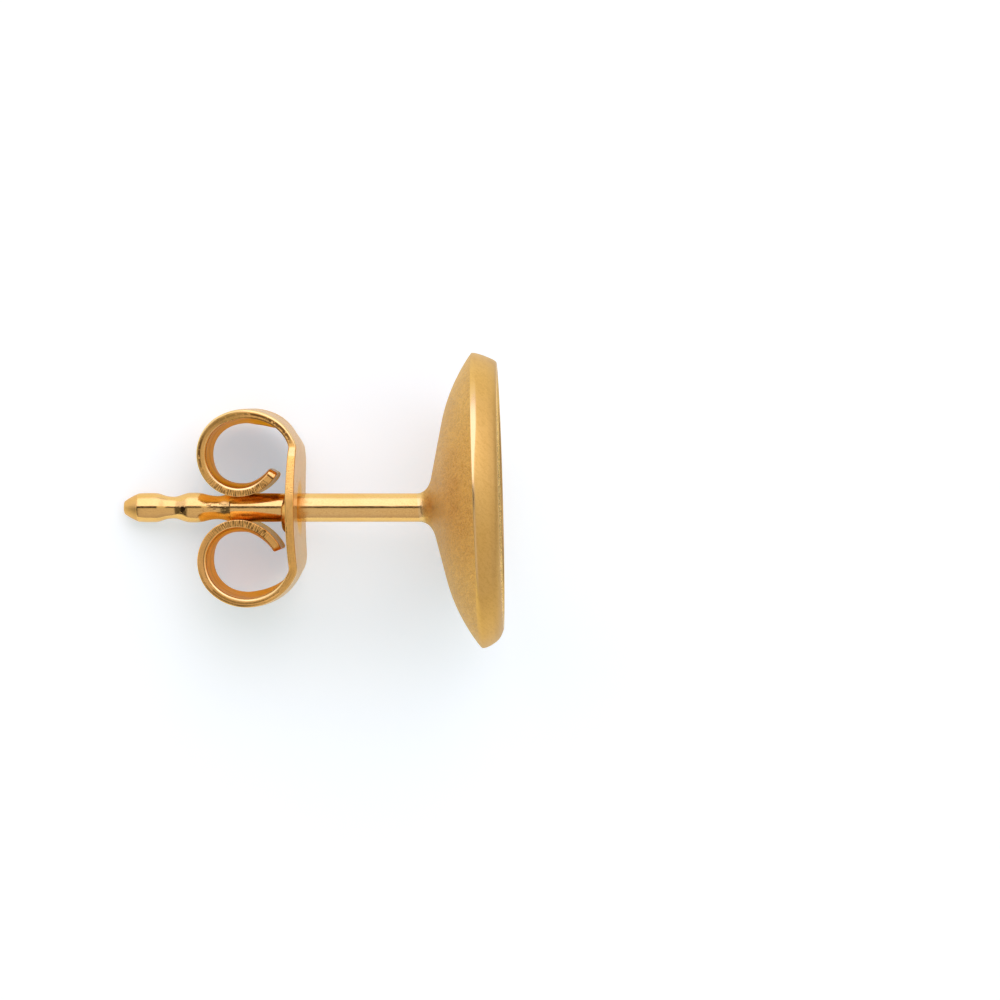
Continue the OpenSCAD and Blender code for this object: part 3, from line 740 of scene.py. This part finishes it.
def build_clutch(mats):
    layout, nu = ring_layout()
    m = len(layout)
    cells = ACROSS // 2  # cells of the square patch round the hole, each way
    square = 0.5 * (PLATE_W / 2 - RC)
    sq_s = np.linspace(-square, square, cells + 1)

    a, b = walk(SCROLL_A, 0.055), walk(SCROLL_B, 0.055)
    end_a, end_b = a[-1][3], b[-1][3]

    def knots(st, end, tip_r):
        s = [q[3] for q in st if q[3] > square + 0.03 and q[3] < end - tip_r]
        t = tip_r * np.sin(np.linspace(0, math.pi / 2, 9)) * 0.985
        return np.array(s + list(end - tip_r + t))

    tip_a, tip_b = 0.19, 0.12
    ka, kb = knots(a, end_a, tip_a), knots(b, end_b, tip_b)
    s_all = np.concatenate([-kb[::-1], sq_s, ka])
    st = np.where(
        (s_all >= 0)[:, None], resample(a, np.maximum(s_all, 0)), resample(b, np.maximum(-s_all, 0))
    )
    side = np.where(s_all >= 0, 1.0, -1.0)
    px, py, hd = st[:, 0], st[:, 1] * side, st[:, 2]
    nx, ny = -np.sin(hd), np.cos(hd) * side
    s_abs = np.abs(s_all)
    width = lookup(HALF_W, s_abs)
    thick = np.where(s_all >= 0, lookup(THICK_A, s_abs), lookup(THICK_B, s_abs))
    crown = lookup(CROWN, s_abs)

    def hump(p, q, r, t):
        return smoothstep(p, q, s_abs) * (1 - smoothstep(r, t, s_abs))

    # the far edge of each scroll is bent a little differently from the near one
    twist = np.where(s_all >= 0, lookup(TWIST_A, s_abs), lookup(TWIST_B, s_abs))
    bulge = np.where(s_all >= 0, 0.050 * hump(2.4, 3.1, 3.6, 4.8) + 0.025 * hump(2.9, 3.4, 3.7, 4.3), 0.015 * hump(3.2, 3.7, 4.0, 4.6))
    px = px - np.where(s_all >= 0, 0.025 * smoothstep(2.2, 3.8, s_abs), 0.020 * smoothstep(2.4, 4.0, s_abs))
    py = py + np.where(s_all >= 0, 0.020 * smoothstep(1.6, 3.2, s_abs), 0.0)
    far_round = np.zeros(len(s_all))  # the first scroll's far corner is rounder
    for end, r, pos in ((end_a, tip_a, True), (end_b, tip_b, False)):
        k = (s_all > 0) == pos
        d = np.clip(s_abs - (end - r), 0, r)
        if pos:
            far_round = np.where(k, 0.85 * (r - np.sqrt(np.maximum(r * r - d * d, 0))), 0.0)
        if pos:  # cut slantwise
            width = np.where(k, width - 0.30 * d - 0.03 * smoothstep(0.75, 1.0, d / r), width)
        else:
            width = np.where(k, width - (r - np.sqrt(np.maximum(r * r - d * d, 0))) * 0.8, width)

    def place(i, w, through, outer_y=None):
        """3D point at station i, w across, through the thickness. i may be an array."""
        w = np.where(w < 0, w * (1 - far_round[i] / width[i]), w)
        cr = -crown[i] * (1 - (w / width[i]) ** 2)
        q = np.clip(-w / width[i], 0, 1)
        n_off = through + cr + twist[i] * smoothstep(0.1, 1.0, q) - bulge[i] * 4 * q * (1 - q)
        x, y, z = px[i] + nx[i] * n_off, py[i] + ny[i] * n_off, w
        # the ridge that lets the scroll ride over the post
        o_y = py[i] + ny[i] * (-thick[i] / 2 + cr)
        br = 0.517
        need = np.sqrt(np.maximum(br * br - w * w, 0.0)) - np.abs(o_y)
        soft = 0.022
        lift = soft * np.log1p(np.exp(np.clip(need / soft, -40, 40)))
        lift = lift * smoothstep(2.4, 3.2, s_abs[i])
        y = y + side[i] * lift
        return np.stack([x, y + CLUTCH_Y, z], -1)

    def dimple(rho, outer, up):
        """How far the sheet is pressed towards the free end at rho from the
        hole; up is the way towards the first scroll. It is flatter there."""
        if outer:
            return 0.15 * smoothstep(0.0, 1.0, (1.08 - rho) / 0.52)
        low = 1 - 0.45 * smoothstep(-0.1, 0.9, up / rho)
        reach = 0.99 + 0.09 * smoothstep(0.1, 0.9, -up / rho)
        return 0.30 * low * smoothstep(0.0, 1.0, (reach - rho) / 0.38)

    n = len(s_all)
    verts, edge, along, across, rim, thru = [], [], [], [], [], []
    idx = np.arange(n)
    grid = np.zeros((n, m, 3))
    for j, (u, dw, sd, dn, ed) in enumerate(layout):
        rc = rounding(s_all, sd if sd else 1)
        w = u * (width - rc) + dw * rc
        through = sd * (thick / 2 - dn * rc)
        p = place(idx, w, through)
        if dw == 0.0:
            rho = np.hypot(s_all, w)
            k = s_abs <= square + 1e-9
            p[:, 0] -= np.where(k, dimple(np.maximum(rho, 0.01), sd < 0, s_all), 0.0)
        grid[:, j] = p
        edge.append(np.full(n, ed))
        along.append(s_all)
        across.append(w + 0.0 if ed < 0.5 else through)
        rim.append(width - np.abs(w))
        thru.append(through / (thick / 2))
    verts = grid.reshape(-1, 3)
    edge = np.stack(edge, 1).reshape(-1)
    along = np.stack(along, 1).reshape(-1)
    across = np.stack(across, 1).reshape(-1)
    rim = np.stack(rim, 1).reshape(-1)
    thru = np.stack(thru, 1).reshape(-1)

    i0 = int(np.argmin(np.abs(s_all + square)))
    i1 = i0 + cells
    # columns of the square on the outer and inner side
    o0 = 1 + ACROSS // 4
    o1 = o0 + cells
    inner_start = nu + 4 + 5 + 4
    n1 = inner_start + (nu - 1 - o0)
    n0 = inner_start + (nu - 1 - o1)
    faces, face_mats = [], []
    for i in range(n - 1):
        in_sq = i0 <= i < i1
        for j in range(m):
            if in_sq and (o0 <= j < o1 or n0 <= j < n1):
                continue
            j2 = (j + 1) % m
            faces.append((i * m + j, i * m + j2, (i + 1) * m + j2, (i + 1) * m + j))
            face_mats.append(1 if inner_start <= j < inner_start + nu - 1 and s_abs[i] > 1.95 else 0)

    # round patches that carry the hole and its dimple
    def loop_ids(c0, c1, flip):
        cols = list(range(c0, c1 + 1))
        if flip:
            cols = cols[::-1]
        ids = [i * m + cols[0] for i in range(i0, i1)]
        ids += [i1 * m + c for c in cols[:-1]]
        ids += [i * m + cols[-1] for i in range(i1, i0, -1)]
        ids += [i0 * m + c for c in cols[:0:-1]]
        return ids

    extra, ex_edge, ex_along, ex_across = [], [], [], []
    base = len(verts)
    hole_r = 0.522
    rims = []
    for outer in (True, False):
        ids = loop_ids(o0, o1, False) if outer else loop_ids(n0, n1, True)
        bs, bw = s_all[[q // m for q in ids]], verts[ids, 2]
        ang = np.arctan2(bw, bs)
        prev = list(ids)
        rows_ = 26
        for k in range(1, rows_ + 1):
            g = 1 - (k / rows_)
            g = g**1.25
            # rounded mouth of the hole in the last steps
            s_ = hole_r * np.cos(ang) * (1 - g) + bs * g
            w_ = hole_r * np.sin(ang) * (1 - g) + bw * g
            rho = np.hypot(s_, w_)
            # positions on the plate's gentle bend
            off = (-1 if outer else 1) * STRIP_T / 2
            q = np.array([np.interp(s_, s_all, v) for v in (px, py, nx, ny)])
            mouth = 0.05 * (1 - np.sqrt(np.clip(1 - (1 - np.clip((rho - hole_r) / 0.05, 0, 1)) ** 2, 0, 1)))
            off2 = off - mouth * np.sign(off)
            p = np.stack([q[0] + q[2] * off2, q[1] + q[3] * off2 + CLUTCH_Y, w_], -1)
            p[:, 0] -= dimple(rho, outer, s_)
            new = [base + len(extra) + t for t in range(len(ids))]
            extra += list(p)
            ex_edge += [0.0] * len(ids)
            ex_along += list(s_)
            ex_across += list(w_)
            for t in range(len(ids)):
                t2 = (t + 1) % len(ids)
                quad = (prev[t], prev[t2], new[t2], new[t])
                faces.append(quad if not outer else quad[::-1])
            prev = new
        rims.append((prev, ang))
    # wall of the hole: the two rims start at the same corner and run alike
    (ra, _), (rb, _) = rims
    pos = np.array(extra)
    pa, pb = pos[[q - base for q in ra]], pos[[q - base for q in rb]]
    order = [int(np.argmin(np.hypot(pb[:, 1] - p[1], pb[:, 2] - p[2]))) for p in pa]
    L = len(ra)
    prev = ra
    for k in range(1, 5):
        if k < 4:
            p = pa + (pb[order] - pa) * k / 4
            new = [base + len(extra) + t for t in range(L)]
            extra += list(p)
            ex_edge += [0.0] * L
            ex_along += [0.0] * L
            ex_across += [0.0] * L
        else:
            new = [rb[o] for o in order]
        for t in range(L):
            t2 = (t + 1) % L
            faces.append((prev[t2], prev[t], new[t], new[t2]))
        prev = new

    verts = np.concatenate([verts, np.array(extra)])
    edge = np.concatenate([edge, ex_edge])
    along = np.concatenate([along, ex_along])
    across = np.concatenate([across, ex_across])

    # close the two tips with a slightly domed end
    def cap(i, out, flip):
        nonlocal verts, edge, along, across
        ring = [i * m + j for j in range(m)]
        cen = verts[ring].mean(0)
        prev = ring
        for k, (inset, push) in enumerate(((0.3, 0.014), (0.7, 0.034), (1.0, 0.04), (1.25, 0.041))):
            p = []
            for (u, dw, sd, dn, ed) in layout:
                rc = float(rounding(s_all[i], sd if sd else 1))
                w = u * (width[i] - rc) + dw * rc
                th = sd * (thick[i] / 2 - dn * rc)
                ins = inset * 0.042
                w = np.sign(w) * max(abs(w) - ins, 0.0) if abs(w) > width[i] - 2 * RC - ins else w
                th = np.sign(th) * max(abs(th) - ins, 0.0)
                q = place(np.array([i]), np.array([w]), np.array([th]))[0]
                q[0] += out[0] * push
                q[1] += out[1] * push
                p.append(q)
            new = [len(verts) + t for t in range(m)]
            verts = np.concatenate([verts, np.array(p)])
            edge = np.concatenate([edge, np.full(m, 1.0)])
            along = np.concatenate([along, np.full(m, s_all[i])])
            across = np.concatenate([across, [q[2] for q in p]])
            for t in range(m):
                t2 = (t + 1) % m
                quad = (prev[t], prev[t2], new[t2], new[t])
                faces.append(quad if flip else quad[::-1])
            prev = new
        # quads through the thickness between the outer and inner side
        inn = inner_start
        for j in range(nu - 1):
            q = (prev[j], prev[j + 1], prev[inn + nu - 2 - j], prev[inn + nu - 1 - j])
            faces.append(q if flip else q[::-1])
        e1 = [prev[j] for j in range(nu - 1, inn + 1)]
        e2 = [prev[j % m] for j in range(inn + nu - 1, m + 1)]
        for e in (e1, e2):
            faces.append(tuple(e) if flip else tuple(e[::-1]))

    last = n - 1
    cap(last, (math.cos(hd[last]), math.sin(hd[last])), True)
    cap(0, (math.cos(hd[0]), -math.sin(hd[0])), False)

    rim = np.concatenate([rim, np.ones(len(verts) - len(rim))])
    thru = np.concatenate([thru, np.zeros(len(verts) - len(thru))])
    attrs = {"edge": edge, "along": along, "across": across, "rim": rim, "thru": thru}
    fm = face_mats + [0] * (len(faces) - len(face_mats))
    return make_mesh("butterfly_clutch_looks", row(verts), faces, fm, list(mats), attrs)


mats = [polished_gold(), satin_gold(), band_gold(), scratched_gold()]
disc = build_disc_with_post(mats)
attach(disc, "stud")
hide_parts("disc_with_post")

clutch = build_clutch([clutch_gold(), clutch_inside_gold()])
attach(clutch, "clutch")
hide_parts("butterfly_clutch")

# ---------------------------------------------------------------- floor
me = bpy.data.meshes.new("floor")
f = 3.0
me.from_pydata([(-f, -f, 0), (f, -f, 0), (f, f, 0), (-f, f, 0)], [], [(0, 1, 2, 3)])
floor = bpy.data.objects.new("floor", me)
bpy.context.scene.collection.objects.link(floor)
fm = bpy.data.materials.new("floor_white")
nn = Nodes(fm)
# a light table: the floor glows a little, so it is white and its shadows pale
nn.p.inputs["Base Color"].default_value = (0.985, 0.845, 0.585, 1)
nn.p.inputs["Roughness"].default_value = 0.9
nn.p.inputs["Specular IOR Level"].default_value = 0.0
nn.p.inputs["Emission Color"].default_value = (0.45, 0.80, 1.0, 1)
nn.p.inputs["Emission Strength"].default_value = 0.46
me.materials.append(fm)

# ---------------------------------------------------------------- light
# A tent of soft light: bright on one side of the camera, dimmer on the other,
# with a dark slot between the two panels.
RHO = math.radians(0.85)
CAM_UP = row_dir(0, math.cos(RHO), -math.sin(RHO))
CAM_BACK = row_dir(0, math.sin(RHO), math.cos(RHO))
CAM_RIGHT = row_dir(1, 0, 0)

world = bpy.data.worlds.new("tent")
bpy.context.scene.world = world
world.use_nodes = True
wt = world.node_tree
wt.nodes.clear()


def wnode(kind, props=None, **ins):
    nd = wt.nodes.new(kind)
    for k, v in (props or {}).items():
        setattr(nd, k, v)
    for k, v in ins.items():
        s = nd.inputs[int(k[1:])]
        if isinstance(v, (int, float, tuple)):
            s.default_value = v
        else:
            wt.links.new(v, s)
    return nd


wd = wnode("ShaderNodeTexCoord").outputs[0]
du = wnode("ShaderNodeVectorMath", {"operation": "DOT_PRODUCT"}, i0=wd, i1=tuple(CAM_UP)).outputs["Value"]
dc = wnode("ShaderNodeVectorMath", {"operation": "DOT_PRODUCT"}, i0=wd, i1=tuple(CAM_BACK)).outputs["Value"]
al = wnode("ShaderNodeMath", {"operation": "ARCTAN2"}, i0=du, i1=dc).outputs[0]


dx = wnode("ShaderNodeVectorMath", {"operation": "DOT_PRODUCT"}, i0=wd, i1=tuple(CAM_RIGHT)).outputs["Value"]


def ramp(x, lo, hi, a=0.0, b=1.0):
    return wnode("ShaderNodeMapRange", {"interpolation_type": "SMOOTHSTEP"}, i0=x, i1=lo, i2=hi, i3=a, i4=b).outputs[0]


def wmath(op, a, b):
    return wnode("ShaderNodeMath", {"operation": op}, i0=a, i1=b).outputs[0]


def panel(x, lo, hi, soft):
    """1 between lo and hi, with soft borders."""
    return wmath("MULTIPLY", ramp(x, lo - soft, lo + soft), ramp(x, hi - soft, hi + soft, 1.0, 0.0))


def times(colour, factor):
    nd = wnode("ShaderNodeVectorMath", {"operation": "SCALE"}, i0=colour)
    wt.links.new(factor, nd.inputs["Scale"])
    return nd.outputs[0]


RAD = math.radians(1)
key = wmath("MULTIPLY", ramp(al, 9 * RAD, 15 * RAD), ramp(al, 66 * RAD, 108 * RAD, 1.0, 0.18))
fill = wmath("MULTIPLY", panel(al, -120 * RAD, -4 * RAD, 1.5 * RAD), ramp(dx, -0.50, -0.26, 0.10, 1.0))
right = wmath("MULTIPLY", panel(al, -4 * RAD, 13 * RAD, 2 * RAD), ramp(dx, 0.2, 0.4))
side = wmath("ABSOLUTE", dx, 0.0)
key = wmath("MULTIPLY", key, ramp(side, 0.30, 0.66, 1.0, 0.62))
fill = wmath("MULTIPLY", fill, ramp(al, -95 * RAD, -50 * RAD, 0.80, 1.0))
light = times((1.56, 1.58, 2.35), key)
for colour, part in (((0.63, 0.61, 0.74), fill), ((0.68, 0.69, 0.72), right)):
    light = wnode("ShaderNodeVectorMath", {"operation": "ADD"}, i0=light, i1=times(colour, part)).outputs[0]
cool = times((-0.040, -0.038, 0.018), wmath("MULTIPLY", fill, ramp(al, -75 * RAD, -45 * RAD, 1.0, 0.0)))
light = wnode("ShaderNodeVectorMath", {"operation": "ADD"}, i0=light, i1=cool).outputs[0]
light = wnode("ShaderNodeVectorMath", {"operation": "ADD"}, i0=light, i1=(0.06, 0.057, 0.052)).outputs[0]
bg = wnode("ShaderNodeBackground", i0=light, i1=1.0)
pale = wnode("ShaderNodeBackground", i0=(1, 1, 1, 1), i1=1.0)
lp = wnode("ShaderNodeLightPath").outputs["Is Camera Ray"]
mix = wnode("ShaderNodeMixShader", i0=lp, i1=bg.outputs[0], i2=pale.outputs[0])
wo = wnode("ShaderNodeOutputWorld", i0=mix.outputs[0])

# ---------------------------------------------------------------- camera
LOOK = Vector(row((12.763, 0.2566, 0.0)).tolist())
cam_data = bpy.data.cameras.new("camera")
cam_data.sensor_width = 36.0
cam_data.lens = 86.4
cam_data.clip_start = 0.001
cam_data.clip_end = 10.0
cam = bpy.data.objects.new("camera", cam_data)
bpy.context.scene.collection.objects.link(cam)
rot = Matrix((CAM_RIGHT, CAM_UP, CAM_BACK)).transposed().to_4x4()
cam.matrix_world = Matrix.Translation(LOOK + CAM_BACK * 0.081577) @ rot
bpy.context.scene.camera = cam

vs = bpy.context.scene.view_settings
vs.view_transform = "Standard"
vs.look = "None"
vs.exposure = 0.0
